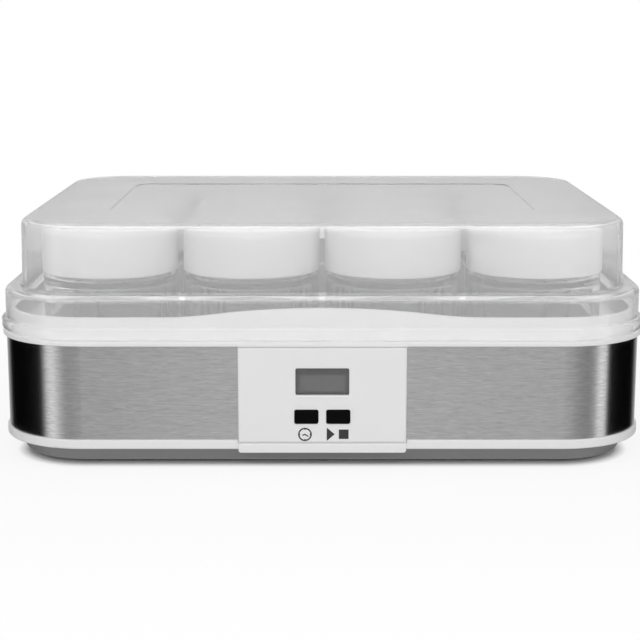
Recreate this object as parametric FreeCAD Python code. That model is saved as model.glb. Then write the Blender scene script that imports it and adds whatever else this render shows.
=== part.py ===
import FreeCAD, Part
import math
import os

from FreeCAD import Vector

# Yogurt maker: a heated base with a steel band, glass jars in its well and one clear stepped cover.
# Millimetres. +X is right, the control panel faces -Y and +Z is up.
# The origin is on the table, under the middle.

# Jars and caps
JAR_COLUMNS = 4
ROW_NAMES = ("front", "middle", "rear")
JAR_RADIUS = 36.2
JAR_WALL = 3.0
JAR_FLOOR = 3.6
JAR_HEIGHT = 79.0
JAR_SHOULDER = 56.9
JAR_HEEL_FILLET = 3.0
JAR_SHOULDER_FILLET = 2.6
JAR_PUNT_DEPTH = 0.8
JAR_STAND_WIDTH = 8.0
NECK_RADIUS = 33.2
NECK_WALL = 3.0
LUG_COUNT = 4
LUG_DEPTH = 1.1
LUG_HEIGHT = 2.2
LUG_DROP = 10.6
NECK_LUG_ANGLE = 40.0
CAP_LUG_ANGLE = 30.0
LUG_CLEARANCE = 0.4
LUG_ROOT = 0.4
CAP_WALL = 2.1
CAP_TOP = 2.3
CAP_EDGE_FILLET = 3.8
CAP_DISH_DEPTH = 0.5
CAP_DISH_BORDER = 7.5
CAP_SKIRT_GAP = 0.4
CAP_SEAT_GAP = 0.3
JAR_GAP = 3.2
JAR_SEAT_GAP = 0.3

# Outline of the well, and the walls outside it
WELL_SIDE_GAP = 4.1
WELL_END_GAP = 5.2
WELL_CORNER_RADIUS = 30.5
WELL_WALL = 2.0
WELL_FLANGE_WIDTH = 8.5
HOUSING_OFFSET = 14.5
BAND_THICKNESS = 0.6
BAND_FIT = 0.2
PAN_WALL = 2.2
PAN_INSET = 4.0
PAN_SLOPE = 5.5
PAN_EDGE_FILLET = 4.0
TRIM_OVERHANG = 1.2
TRIM_LIP = 0.8
TRIM_FIT = 0.15
RIM_OVERHANG = 1.8
RIM_FILLET = 1.2

# Heights, upward from the table
FOOT_PROUD = 2.0
FOOT_RECESS = 1.0
FOOT_RADIUS = 8.0
FOOT_FIT = 0.1
PAN_FLOOR = 2.4
PAN_SIDE = 8.7
TRIM_HEIGHT = 5.0
BAND_SHOWN = 49.7
RIM_HEIGHT = 2.8
RIM_TOP = 1.2
DECK_THICKNESS = 2.0
COLLAR_WALL = 2.2
COLLAR_HEIGHT = 11.4
WAVE_HEIGHT = 5.0
WAVE_HALF_WIDTH = 82.0
WAVE_END_RADIUS = 190.0
WELL_DEPTH = 28.8
PLATE_THICKNESS = 1.5
PLATE_FIT = 0.3
FLANGE_THICKNESS = 2.0

# Cover
COVER_WALL = 2.2
COVER_COLLAR_FIT = 0.8
COVER_SEAT_GAP = 0.2
COVER_HEADROOM = 3.8
SKIRT_HEIGHT = 22.7
LEDGE_WIDTH = 9.0
LEDGE_FILLET = 3.0
DOME_DRAFT = 0.7
DOME_EDGE_FILLET = 4.0
DOME_FOOT_FILLET = 1.0
BEAD_PROUD = 2.3
BEAD_HEIGHT = 6.5
BEAD_FILLET = 1.8
TOP_INSET_HALF_X = 117.0
TOP_INSET_HALF_Y = 72.0
TOP_INSET_DEPTH = 0.5
TOP_INSET_RADIUS = 12.0

# Control panel, display and buttons
PANEL_WIDTH = 87.0
PANEL_THICKNESS = 2.2
PANEL_SEAM = 0.4
PANEL_EDGE_FILLET = 0.9
PANEL_FRAME_MARGIN = 4.0
PANEL_FRAME_WALL = 1.6
PANEL_FRAME_DEPTH = 5.0
PANEL_FRAME_FIT = 0.3
CHIN_PROUD = 3.3
CHIN_DROP = 1.3
CHIN_HEIGHT = 4.9
CHIN_FILLET = 1.4
BROW_PROUD = 0.6
DISPLAY_WIDTH = 27.8
DISPLAY_HEIGHT = 14.4
DISPLAY_CENTRE_UP = 32.3
DISPLAY_CORNER = 1.0
WINDOW_BORDER = 1.5
WINDOW_THICKNESS = 1.0
WINDOW_GAP = 0.1
BUTTON_WIDTH = 12.0
BUTTON_HEIGHT = 7.1
BUTTON_PITCH = 16.5
BUTTON_CENTRE_UP = 13.8
BUTTON_CORNER = 0.8
BUTTON_PROUD = 0.6
BUTTON_FIT = 0.3
BUTTON_FLANGE = 1.3
BUTTON_FLANGE_THICKNESS = 1.0
BUTTON_STOP_GAP = 0.2
BUTTON_TRAVEL = 0.8
SWITCH_SIZE = 6.0
SWITCH_HEIGHT = 3.3
PLUNGER_RADIUS = 1.75
PLUNGER_FIT = 0.1
PLUNGER_ENGAGED = 0.8
PLUNGER_END_ROOM = 0.4
CONTROL_BOARD_DEPTH = 6.1
CONTROL_BOARD_MARGIN = 1.0

# Boards, screws and what is soldered or clipped inside
BOARD_THICKNESS = 1.6
BOARD_SCREW_RADIUS = 1.0
BOARD_SCREW_LENGTH = 5.0
BOARD_SCREW_HEAD_RADIUS = 2.0
BOARD_SCREW_HEAD = 1.3
BOARD_SCREW_INSET = 4.0
BOSS_RADIUS = 2.6
SCREW_FIT = 0.1
POWER_BOARD_X = 28.0
POWER_BOARD_Y = 12.0
POWER_BOARD_LENGTH = 84.0
POWER_BOARD_WIDTH = 56.0
POWER_BOARD_LIFT = 5.6
TRANSFORMER_SIZE = (30.0, 26.0, 20.0)
TRANSFORMER_PLACE = (46.0, 9.0)
RELAY_SIZE = (19.0, 15.0, 15.0)
RELAY_PLACE = (50.0, 39.0)
CAPACITOR_RADIUS = 5.0
CAPACITOR_HEIGHT = 13.0
CAPACITOR_PLACE = (34.0, 44.0)
TERMINAL_SIZE = (9.0, 24.0, 11.0)
TERMINAL_PLACE = (4.0, 12.0)
TERMINAL_WAY_HEIGHT = 6.0
CONNECTOR_SIZE = (10.0, 6.0, 6.0)
CONNECTOR_PLACE = (19.0, 3.0)
PANEL_CONNECTOR_X = 20.0
PANEL_CONNECTOR_UP = 6.0
HEATER_THICKNESS = 0.4
HEATER_MARGIN = 1.5
HEATER_TAB_SIZE = (6.0, 4.0, 3.0)
FUSE_RADIUS = 1.9
FUSE_LENGTH = 12.0
SENSOR_SIZE = (12.0, 5.0, 3.6)
LEAD_RADIUS = 1.0
LEAD_PITCH = 7.0
LEAD_REACH = 14.0
DISPLAY_LEAD_RADIUS = 1.2
DISPLAY_LEAD_ROUTE = ((40.0, -30.0), (28.0, -80.0))
DISPLAY_LEAD_LAST_RUN = 12.0
BEND_SHARE = 0.45
HOUSING_SCREW_OFFSET = -4.0
HOUSING_SCREW_RADIUS = 1.5
HOUSING_SCREW_LENGTH = 20.0
HOUSING_SCREW_HEAD_RADIUS = 3.2
HOUSING_SCREW_HEAD = 1.8
HOUSING_BOSS_RADIUS = 4.0
PILLAR_RADIUS = 5.5
PILLAR_HEIGHT = 13.0
PILLAR_SHELF = 4.0
GLAND_X = 100.0
GLAND_UP = 14.0
GLAND_BORE = 3.4
GLAND_WALL = 2.4
GLAND_FLANGE = 2.4
GLAND_INSIDE = 2.0
GLAND_FIT = 0.1

# Places that follow from the sizes above
CAP_INNER_RADIUS = NECK_RADIUS + LUG_DEPTH + LUG_CLEARANCE
CAP_RADIUS = CAP_INNER_RADIUS + CAP_WALL
JAR_PITCH = 2 * max(CAP_RADIUS, JAR_RADIUS) + JAR_GAP
WELL_HALF_X = (JAR_COLUMNS - 1) / 2 * JAR_PITCH + JAR_RADIUS + WELL_SIDE_GAP
WELL_HALF_Y = (len(ROW_NAMES) - 1) / 2 * JAR_PITCH + JAR_RADIUS + WELL_END_GAP

# Every wall shares the well's corner centres, so a wall is named by its distance from them.
CORNER_X = WELL_HALF_X - WELL_CORNER_RADIUS
CORNER_Y = WELL_HALF_Y - WELL_CORNER_RADIUS
WELL_OUT = WELL_CORNER_RADIUS + WELL_WALL
FLANGE_IN = WELL_OUT - WELL_FLANGE_WIDTH
BAND_OUT = WELL_CORNER_RADIUS + HOUSING_OFFSET
BAND_IN = BAND_OUT - BAND_THICKNESS
PAN_OUT = BAND_IN - BAND_FIT
PAN_IN = PAN_OUT - PAN_WALL
PAN_SIDE_TOP = BAND_OUT - PAN_INSET
PAN_SIDE_FOOT = PAN_SIDE_TOP - PAN_SLOPE
TRIM_OUT = BAND_OUT + TRIM_OVERHANG
RIM_OUT = BAND_OUT + RIM_OVERHANG
SKIRT_OUT = BAND_OUT
SKIRT_IN = SKIRT_OUT - COVER_WALL
COLLAR_OUT = SKIRT_IN - COVER_COLLAR_FIT
COLLAR_IN = COLLAR_OUT - COLLAR_WALL
BEAD_OUT = SKIRT_OUT + BEAD_PROUD
DOME_FOOT_OUT = SKIRT_OUT - LEDGE_WIDTH
DOME_TOP_OUT = DOME_FOOT_OUT - DOME_DRAFT

PAN_Z = FOOT_PROUD
FLOOR_Z = PAN_Z + PAN_FLOOR
TRIM_Z = PAN_Z + PAN_SIDE
BAND_Z = TRIM_Z + TRIM_HEIGHT
RIM_Z = BAND_Z + BAND_SHOWN
DECK_Z = RIM_Z + RIM_HEIGHT
GROOVE_Z = DECK_Z - RIM_TOP
COLLAR_Z = DECK_Z + COLLAR_HEIGHT
PLATE_Z = DECK_Z - WELL_DEPTH
FLANGE_Z = PLATE_Z - PLATE_THICKNESS
FLANGE_FOOT_Z = FLANGE_Z - FLANGE_THICKNESS
JAR_Z = PLATE_Z + JAR_SEAT_GAP
CAP_CEILING_Z = JAR_Z + JAR_HEIGHT + CAP_SEAT_GAP
CAP_TOP_Z = CAP_CEILING_Z + CAP_TOP
COVER_Z = DECK_Z + COVER_SEAT_GAP
LEDGE_Z = DECK_Z + SKIRT_HEIGHT
COVER_CEILING_Z = CAP_TOP_Z + COVER_HEADROOM
COVER_TOP_Z = COVER_CEILING_Z + COVER_WALL

FRONT_Y = -(CORNER_Y + BAND_OUT)
CHIN_TOP_Z = TRIM_Z - CHIN_DROP + CHIN_HEIGHT
PANEL_Z = CHIN_TOP_Z + PANEL_SEAM
PANEL_TOP_Z = RIM_Z - PANEL_SEAM
DISPLAY_Z = PANEL_Z + DISPLAY_CENTRE_UP
BUTTON_Z = PANEL_Z + BUTTON_CENTRE_UP
BUTTON_FLANGE_DEPTH = BUTTON_STOP_GAP + BUTTON_FLANGE_THICKNESS
POWER_BOARD_Z = FLOOR_Z + POWER_BOARD_LIFT
POWER_TOP_Z = POWER_BOARD_Z + BOARD_THICKNESS
HEATER_Z = FLANGE_Z - HEATER_THICKNESS
PILLAR_TOP_Z = FLOOR_Z + PILLAR_HEIGHT
SCREW_SHELF_Z = PILLAR_TOP_Z - PILLAR_SHELF
CONTROL_BOARD_BACK = CONTROL_BOARD_DEPTH + BOARD_THICKNESS
BOARD_HOLE_RADIUS = BOARD_SCREW_RADIUS + SCREW_FIT

UP = Vector(0, 0, 1)
BACKWARD = Vector(0, 1, 0)
ORIGIN = Vector(0, 0, 0)


def rounded_wire(corners):
    """Closed wire in the XZ plane through (u, v) or (u, v, fillet radius) corners."""
    edges = []
    starts, ends = [], []
    count = len(corners)
    for index, corner in enumerate(corners):
        here = Vector(corner[0], 0, corner[1])
        before = Vector(corners[index - 1][0], 0, corners[index - 1][1])
        after = Vector(corners[(index + 1) % count][0], 0, corners[(index + 1) % count][1])
        radius = corner[2] if len(corner) > 2 else 0
        back = (before - here).normalize()
        ahead = (after - here).normalize()
        half_angle = back.getAngle(ahead) / 2
        reach = radius / math.tan(half_angle) if radius else 0
        start = here + back * reach
        end = here + ahead * reach
        if radius:
            inward = (back + ahead).normalize()
            middle = here + inward * (radius / math.sin(half_angle) - radius)
            edges.append(Part.Arc(start, middle, end).toShape())
        starts.append(start)
        ends.append(end)
    for index in range(count):
        start, end = ends[index], starts[(index + 1) % count]
        if (end - start).Length > 1e-6:
            edges.append(Part.LineSegment(start, end).toShape())
    return Part.Wire(Part.__sortEdges__(edges))


def round_box_sweep(corners, filled=False):
    """Carry a profile of (distance from the corner centres, height) round the body's rounded outline."""
    face = Part.Face(rounded_wire(corners))
    turned = face.rotated(ORIGIN, UP, 90)
    near, far = Vector(CORNER_X, CORNER_Y, 0), Vector(-CORNER_X, CORNER_Y, 0)
    half = [
        face.translated(Vector(CORNER_X, -CORNER_Y, 0)).extrude(Vector(0, 2 * CORNER_Y, 0)),
        face.translated(near).revolve(near, UP, 90),
        turned.translated(near).extrude(Vector(-2 * CORNER_X, 0, 0)),
        turned.translated(far).revolve(far, UP, 90),
    ]
    pieces = half + [piece.rotated(ORIGIN, UP, 180) for piece in half]
    if filled:
        box = face.BoundBox
        corner = Vector(-CORNER_X, -CORNER_Y, box.ZMin)
        pieces.append(Part.makeBox(2 * CORNER_X, 2 * CORNER_Y, box.ZLength, corner))
    return pieces[0].multiFuse(pieces[1:]).removeSplitter()


def turned_solid(corners):
    """Revolve a closed (radius, height) profile about Z."""
    return Part.Face(rounded_wire(corners)).revolve(ORIGIN, UP, 360)


def box_between(low, high):
    return Part.makeBox(high[0] - low[0], high[1] - low[1], high[2] - low[2], Vector(*low))


def panel_block(x, z, width, height, depth_from, depth_to, corner=0.0):
    """Upright block behind the steel's front face, centred at x and z, with its long edges rounded."""
    low = (x - width / 2, FRONT_Y + depth_from, z - height / 2)
    block = box_between(low, (x + width / 2, FRONT_Y + depth_to, z + height / 2))
    if corner:
        depth = depth_to - depth_from
        block = block.makeFillet(corner, [e for e in block.Edges if abs(e.BoundBox.YLength - depth) < 1e-6])
    return block


def upright(radius, low, high, x=0.0, y=0.0):
    return Part.makeCylinder(radius, high - low, Vector(x, y, low))


def inward_pin(radius, depth_from, depth_to, x, z):
    """Cylinder along Y, between two depths behind the steel's front face."""
    return Part.makeCylinder(radius, depth_to - depth_from, Vector(x, FRONT_Y + depth_from, z), BACKWARD)


def soften_front(block, radius):
    """Round the edges of a block's front face."""
    front = block.BoundBox.YMin + radius
    return block.makeFillet(radius, [e for e in block.Edges if e.BoundBox.YMax < front])


def joined(pieces):
    return pieces[0].multiFuse(pieces[1:]).removeSplitter()


def tube_along(points, radius):
    """Round lead through straight runs joined by tangent arcs, as large as the runs allow."""
    edges = []
    start = points[0]
    for before, here, after in zip(points, points[1:], points[2:]):
        back, ahead = (before - here), (after - here)
        reach = BEND_SHARE * min(back.Length, ahead.Length)
        back.normalize()
        ahead.normalize()
        half_angle = back.getAngle(ahead) / 2
        bend = reach * math.tan(half_angle)
        middle = here + (back + ahead).normalize() * (bend / math.sin(half_angle) - bend)
        edges.append(Part.LineSegment(start, here + back * reach).toShape())
        edges.append(Part.Arc(here + back * reach, middle, here + ahead * reach).toShape())
        start = here + ahead * reach
    edges.append(Part.LineSegment(start, points[-1]).toShape())
    ring = Part.Wire(Part.makeCircle(radius, points[0], points[1] - points[0]))
    return Part.Wire(edges).makePipeShell([ring], True, False)


def lug_ring(inner, outer, low, high, angle):
    """Equally spaced ring segments for the caps' twist lock."""
    segment = Part.Face(rounded_wire([(inner, low), (outer, low), (outer, high), (inner, high)]))
    segment = segment.rotated(ORIGIN, UP, -angle / 2).revolve(ORIGIN, UP, angle)
    return [segment.rotated(ORIGIN, UP, 360 / LUG_COUNT * index) for index in range(LUG_COUNT)]


def jar():
    neck_in = NECK_RADIUS - NECK_WALL
    body_in = JAR_RADIUS - JAR_WALL
    stand_in = JAR_RADIUS - JAR_STAND_WIDTH
    glass = turned_solid([
        (0, JAR_PUNT_DEPTH), (stand_in, JAR_PUNT_DEPTH, JAR_PUNT_DEPTH / 2), (stand_in + JAR_PUNT_DEPTH, 0),
        (JAR_RADIUS, 0, JAR_HEEL_FILLET),
        (JAR_RADIUS, JAR_SHOULDER, JAR_SHOULDER_FILLET), (NECK_RADIUS, JAR_SHOULDER, LUG_ROOT),
        (NECK_RADIUS, JAR_HEIGHT, NECK_WALL * 0.45), (neck_in, JAR_HEIGHT, NECK_WALL * 0.45),
        (neck_in, JAR_SHOULDER - JAR_WALL / 2, JAR_WALL),
        (body_in, JAR_SHOULDER - 2 * JAR_WALL, JAR_WALL),
        (body_in, JAR_FLOOR, JAR_WALL), (0, JAR_FLOOR),
    ])
    lug_top = JAR_HEIGHT - LUG_DROP
    lug_foot = lug_top - LUG_HEIGHT
    lugs = lug_ring(NECK_RADIUS - LUG_ROOT, NECK_RADIUS + LUG_DEPTH, lug_foot, lug_top, NECK_LUG_ANGLE)
    return joined([glass] + lugs)


def cap():
    """Twist-lock cap: its lugs sit under the neck's and clear them after an eighth of a turn."""
    skirt = JAR_SHOULDER + CAP_SKIRT_GAP
    ceiling = JAR_HEIGHT + CAP_SEAT_GAP
    top = ceiling + CAP_TOP
    dish = CAP_RADIUS - CAP_DISH_BORDER
    edge = CAP_WALL * 0.3
    shell = turned_solid([
        (0, top - CAP_DISH_DEPTH), (dish, top - CAP_DISH_DEPTH, CAP_DISH_DEPTH),
        (dish + 2 * CAP_DISH_DEPTH, top, CAP_DISH_DEPTH),
        (CAP_RADIUS, top, CAP_EDGE_FILLET), (CAP_RADIUS, skirt, edge),
        (CAP_INNER_RADIUS, skirt, edge), (CAP_INNER_RADIUS, ceiling, CAP_WALL / 2), (0, ceiling),
    ])
    lug_top = JAR_HEIGHT - LUG_DROP - LUG_HEIGHT - LUG_CLEARANCE
    lug_foot = lug_top - LUG_HEIGHT
    lug_tip = NECK_RADIUS + LUG_CLEARANCE
    lugs = lug_ring(lug_tip, CAP_INNER_RADIUS + LUG_ROOT, lug_foot, lug_top, CAP_LUG_ANGLE)
    return joined([shell] + lugs)


def jar_places():
    """Name ending and place of every jar, from the front left to the rear right."""
    for row, row_name in enumerate(ROW_NAMES):
        for column in range(JAR_COLUMNS):
            x = (column - (JAR_COLUMNS - 1) / 2) * JAR_PITCH
            y = (row - (len(ROW_NAMES) - 1) / 2) * JAR_PITCH
            yield f"{row_name}_{column + 1}", Vector(x, y, JAR_Z)


def cover():
    dome_foot_in = DOME_FOOT_OUT - COVER_WALL
    outside = round_box_sweep([
        (0, COVER_Z), (BEAD_OUT, COVER_Z, BEAD_FILLET), (BEAD_OUT, COVER_Z + BEAD_HEIGHT, BEAD_FILLET),
        (SKIRT_OUT, COVER_Z + BEAD_HEIGHT, DOME_FOOT_FILLET / 2),
        (SKIRT_OUT, LEDGE_Z, LEDGE_FILLET), (DOME_FOOT_OUT, LEDGE_Z, DOME_FOOT_FILLET),
        (DOME_TOP_OUT, COVER_TOP_Z, DOME_EDGE_FILLET), (0, COVER_TOP_Z),
    ], filled=True)
    inside = round_box_sweep([
        (0, COVER_Z - COVER_WALL), (SKIRT_IN, COVER_Z - COVER_WALL),
        (SKIRT_IN, LEDGE_Z - COVER_WALL, LEDGE_FILLET / 2),
        (dome_foot_in, LEDGE_Z - COVER_WALL, DOME_FOOT_FILLET),
        (DOME_TOP_OUT - COVER_WALL, COVER_CEILING_Z, DOME_EDGE_FILLET / 2), (0, COVER_CEILING_Z),
    ], filled=True)
    low = (-TOP_INSET_HALF_X, -TOP_INSET_HALF_Y, COVER_TOP_Z - TOP_INSET_DEPTH)
    inset = box_between(low, (TOP_INSET_HALF_X, TOP_INSET_HALF_Y, COVER_TOP_Z + TOP_INSET_DEPTH))
    upright_edges = [e for e in inset.Edges if e.BoundBox.ZLength > TOP_INSET_DEPTH]
    inset = inset.makeFillet(TOP_INSET_RADIUS, upright_edges)
    return outside.cut(inside).cut(inset)


def collar_wave():
    """Raised crest in the collar's edge, tangent to it at both ends and as thick as the collar."""
    sum_of_radii = (WAVE_HALF_WIDTH ** 2 + WAVE_HEIGHT ** 2) / (2 * WAVE_HEIGHT)
    crest_radius = sum_of_radii - WAVE_END_RADIUS
    joint_x = WAVE_HALF_WIDTH * crest_radius / sum_of_radii
    joint_z = COLLAR_Z + WAVE_HEIGHT - crest_radius + math.sqrt(crest_radius ** 2 - joint_x ** 2)
    middle_x = (joint_x + WAVE_HALF_WIDTH) / 2
    rise = WAVE_END_RADIUS - math.sqrt(WAVE_END_RADIUS ** 2 - (WAVE_HALF_WIDTH - middle_x) ** 2)
    ends = [Vector(side * WAVE_HALF_WIDTH, 0, COLLAR_Z) for side in (-1, 1)]
    middles = [Vector(side * middle_x, 0, COLLAR_Z + rise) for side in (-1, 1)]
    joints = [Vector(side * joint_x, 0, joint_z) for side in (-1, 1)]
    feet = [end - Vector(0, 0, COLLAR_WALL) for end in ends]
    outline = Part.Wire([
        Part.LineSegment(feet[0], ends[0]).toShape(),
        Part.Arc(ends[0], middles[0], joints[0]).toShape(),
        Part.Arc(joints[0], Vector(0, 0, COLLAR_Z + WAVE_HEIGHT), joints[1]).toShape(),
        Part.Arc(joints[1], middles[1], ends[1]).toShape(),
        Part.LineSegment(ends[1], feet[1]).toShape(),
        Part.LineSegment(feet[1], feet[0]).toShape(),
    ])
    crest = Part.Face(outline).extrude(Vector(0, COLLAR_WALL, 0))
    return crest.translated(Vector(0, -(CORNER_Y + COLLAR_OUT), 0))


def housing_screw_places():
    """Four corners and the middle of the front and back, under the well's flange."""
    reach = WELL_CORNER_RADIUS + HOUSING_SCREW_OFFSET
    corner = reach / math.sqrt(2)
    places = [(x * (CORNER_X + corner), y * (CORNER_Y + corner)) for x in (-1, 1) for y in (-1, 1)]
    return places + [(0, y * (CORNER_Y + reach)) for y in (-1, 1)]


def top_housing():
    groove_in = PAN_IN - BAND_FIT
    rim_in = BAND_OUT + BAND_FIT
    deck_foot = DECK_Z - DECK_THICKNESS
    body = round_box_sweep([
        (rim_in, RIM_Z), (RIM_OUT, RIM_Z, RIM_FILLET / 3), (RIM_OUT, DECK_Z, RIM_FILLET),
        (COLLAR_OUT, DECK_Z), (COLLAR_OUT, COLLAR_Z), (COLLAR_IN, COLLAR_Z), (COLLAR_IN, DECK_Z),
        (WELL_CORNER_RADIUS, DECK_Z, RIM_FILLET), (WELL_CORNER_RADIUS, FLANGE_Z),
        (FLANGE_IN, FLANGE_Z), (FLANGE_IN, FLANGE_FOOT_Z), (WELL_OUT, FLANGE_FOOT_Z),
        (WELL_OUT, deck_foot), (groove_in, deck_foot), (groove_in, GROOVE_Z), (rim_in, GROOVE_Z),
    ])
    front_crest = collar_wave()
    brow = panel_block(
        0, (RIM_Z + DECK_Z - RIM_FILLET) / 2, PANEL_WIDTH, RIM_HEIGHT - RIM_FILLET,
        -(RIM_OVERHANG + BROW_PROUD), -RIM_OVERHANG / 2)
    rear_crest = front_crest.rotated(ORIGIN, UP, 180)
    pieces = [body, front_crest, rear_crest, soften_front(brow, BROW_PROUD / 2)]
    holes = []
    for x, y in housing_screw_places():
        pieces.append(upright(HOUSING_BOSS_RADIUS, PILLAR_TOP_Z, FLANGE_FOOT_Z, x, y))
        pilot_top = SCREW_SHELF_Z + HOUSING_SCREW_LENGTH + SCREW_FIT
        holes.append(upright(HOUSING_SCREW_RADIUS + SCREW_FIT, PILLAR_TOP_Z, pilot_top, x, y))
    return joined(pieces).cut(holes)


def heating_plate():
    edge = WELL_CORNER_RADIUS - PLATE_FIT
    return round_box_sweep([(0, FLANGE_Z), (edge, FLANGE_Z), (edge, PLATE_Z), (0, PLATE_Z)], filled=True)


def lead_rows():
    """Y of the sensor lead and the two heater leads, one behind the other along the terminal block."""
    middle = POWER_BOARD_Y + TERMINAL_PLACE[1] + TERMINAL_SIZE[1] / 2
    return [middle + step * LEAD_PITCH for step in (-1, 0, 1)]


def terminal_face_x():
    return POWER_BOARD_X + TERMINAL_PLACE[0]


def lead_end_x():
    return terminal_face_x() - 2 * LEAD_REACH


def heater_foil():
    edge = FLANGE_IN - HEATER_MARGIN
    foil = round_box_sweep([(0, HEATER_Z), (edge, HEATER_Z), (edge, FLANGE_Z), (0, FLANGE_Z)], filled=True)
    length, width, height = HEATER_TAB_SIZE
    y = lead_rows()[1]
    low = (lead_end_x() - length, y - width / 2, HEATER_Z - height)
    return joined([foil, box_between(low, (lead_end_x(), y + width / 2, HEATER_Z))])


def thermal_fuse():
    start = Vector(lead_end_x() - FUSE_LENGTH, lead_rows()[2], HEATER_Z - FUSE_RADIUS)
    return Part.makeCylinder(FUSE_RADIUS, FUSE_LENGTH, start, Vector(1, 0, 0))


def temperature_sensor():
    length, width, height = SENSOR_SIZE
    y = lead_rows()[0]
    low = (lead_end_x() - length, y - width / 2, HEATER_Z - height)
    return box_between(low, (lead_end_x(), y + width / 2, HEATER_Z))


def rising_lead(y, end_z):
    """From the terminal block's face across, up and across again to what sits under the heating plate."""
    start_x = terminal_face_x()
    start_z = POWER_TOP_Z + TERMINAL_WAY_HEIGHT
    rise_x = start_x - LEAD_REACH
    points = [(start_x, start_z), (rise_x, start_z), (rise_x, end_z), (lead_end_x(), end_z)]
    return tube_along([Vector(x, y, z) for x, z in points], LEAD_RADIUS)


def sensor_lead():
    return rising_lead(lead_rows()[0], HEATER_Z - SENSOR_SIZE[2] / 2)


def heater_leads():
    tab_lead = rising_lead(lead_rows()[1], HEATER_Z - HEATER_TAB_SIZE[2] / 2)
    fuse_lead = rising_lead(lead_rows()[2], HEATER_Z - FUSE_RADIUS)
    return Part.Compound([tab_lead, fuse_lead])


def steel_band():
    top_z = GROOVE_Z - BAND_FIT
    band = round_box_sweep([(BAND_IN, BAND_Z), (BAND_OUT, BAND_Z), (BAND_OUT, top_z), (BAND_IN, top_z)])
    gap = panel_frame_width() + 2 * PANEL_FRAME_FIT
    height = 2 * (top_z - BAND_Z)
    opening = panel_block(0, (BAND_Z + top_z) / 2, gap, height, -BAND_THICKNESS, 2 * BAND_THICKNESS)
    return band.cut([opening, gland_hole()])


def trim_ring():
    lip_in = PAN_SIDE_TOP + TRIM_FIT
    ring = round_box_sweep([
        (lip_in, TRIM_Z), (TRIM_OUT, TRIM_Z, TRIM_OVERHANG), (TRIM_OUT, BAND_Z, TRIM_OVERHANG / 2),
        (PAN_OUT + TRIM_FIT, BAND_Z), (PAN_OUT + TRIM_FIT, TRIM_Z + TRIM_LIP), (lip_in, TRIM_Z + TRIM_LIP)])
    chin_z = CHIN_TOP_Z - CHIN_HEIGHT / 2
    chin = panel_block(0, chin_z, PANEL_WIDTH, CHIN_HEIGHT, -CHIN_PROUD, BAND_THICKNESS, CHIN_FILLET)
    notch_width = PANEL_WIDTH + 2 * PANEL_SEAM
    notch = panel_block(0, CHIN_TOP_Z + TRIM_HEIGHT / 2, notch_width, TRIM_HEIGHT, -2 * CHIN_PROUD, 0)
    return joined([ring.cut(notch), soften_front(chin, CHIN_FILLET / 2)])


def board_screw_places(length, width):
    """Screw places from a board's middle."""
    along, across = length / 2 - BOARD_SCREW_INSET, width / 2 - BOARD_SCREW_INSET
    return [(u * along, v * across) for u in (-1, 1) for v in (-1, 1)]


def power_screw_places():
    x = POWER_BOARD_X + POWER_BOARD_LENGTH / 2
    y = POWER_BOARD_Y + POWER_BOARD_WIDTH / 2
    return [(x + u, y + v) for u, v in board_screw_places(POWER_BOARD_LENGTH, POWER_BOARD_WIDTH)]


def foot_places():
    """Under the corner centres."""
    for y, end in ((-CORNER_Y, "front"), (CORNER_Y, "rear")):
        for x, side in ((-CORNER_X, "left"), (CORNER_X, "right")):
            yield f"foot_{end}_{side}", x, y


def base_pan():
    step_z = TRIM_Z + TRIM_LIP + TRIM_FIT
    top_z = GROOVE_Z - BAND_FIT
    outside = round_box_sweep([
        (0, PAN_Z), (PAN_SIDE_FOOT, PAN_Z, PAN_EDGE_FILLET), (PAN_SIDE_TOP, step_z),
        (PAN_OUT, step_z), (PAN_OUT, top_z), (0, top_z)], filled=True)
    inside = round_box_sweep([
        (0, FLOOR_Z), (PAN_SIDE_FOOT - PAN_WALL, FLOOR_Z, PAN_EDGE_FILLET / 2),
        (PAN_SIDE_TOP - PAN_WALL, step_z + PAN_WALL), (PAN_IN, step_z + PAN_WALL),
        (PAN_IN, top_z + PAN_WALL), (0, top_z + PAN_WALL)], filled=True)
    aperture_height = panel_frame_height() + 2 * PANEL_FRAME_FIT
    aperture_width = panel_frame_width() + 2 * PANEL_FRAME_FIT
    cuts = [
        panel_block(0, panel_middle_z(), aperture_width, aperture_height, 0, PANEL_FRAME_DEPTH),
        gland_hole(),
    ]
    pieces = [outside.cut(inside)]
    for x, y in housing_screw_places():
        pieces.append(upright(PILLAR_RADIUS, FLOOR_Z, PILLAR_TOP_Z, x, y))
        cuts.append(upright(HOUSING_SCREW_HEAD_RADIUS + 4 * SCREW_FIT, PAN_Z, SCREW_SHELF_Z, x, y))
        cuts.append(upright(HOUSING_SCREW_RADIUS + 2 * SCREW_FIT, SCREW_SHELF_Z, PILLAR_TOP_Z, x, y))
    screw_end_z = POWER_TOP_Z - BOARD_SCREW_LENGTH
    for x, y in power_screw_places():
        pieces.append(upright(BOSS_RADIUS, FLOOR_Z, POWER_BOARD_Z, x, y))
        cuts.append(upright(BOARD_HOLE_RADIUS, screw_end_z - SCREW_FIT, POWER_BOARD_Z, x, y))
    for _, x, y in foot_places():
        cuts.append(upright(FOOT_RADIUS + FOOT_FIT, PAN_Z, PAN_Z + FOOT_RECESS, x, y))
    return joined(pieces).cut(cuts)


def foot():
    height = FOOT_PROUD + FOOT_RECESS
    return turned_solid([(0, 0), (FOOT_RADIUS, 0, FOOT_PROUD / 3), (FOOT_RADIUS, height), (0, height)])


def gland_place():
    """Outer end of the gland's axis, as far behind the body as the chin stands in front of it."""
    return Vector(GLAND_X, -FRONT_Y + CHIN_PROUD, BAND_Z + GLAND_UP)


def gland_hole():
    length = CHIN_PROUD + HOUSING_OFFSET - WELL_WALL
    radius = GLAND_BORE + GLAND_WALL + GLAND_FIT
    return Part.makeCylinder(radius, length, gland_place(), Vector(0, -1, 0))


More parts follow.
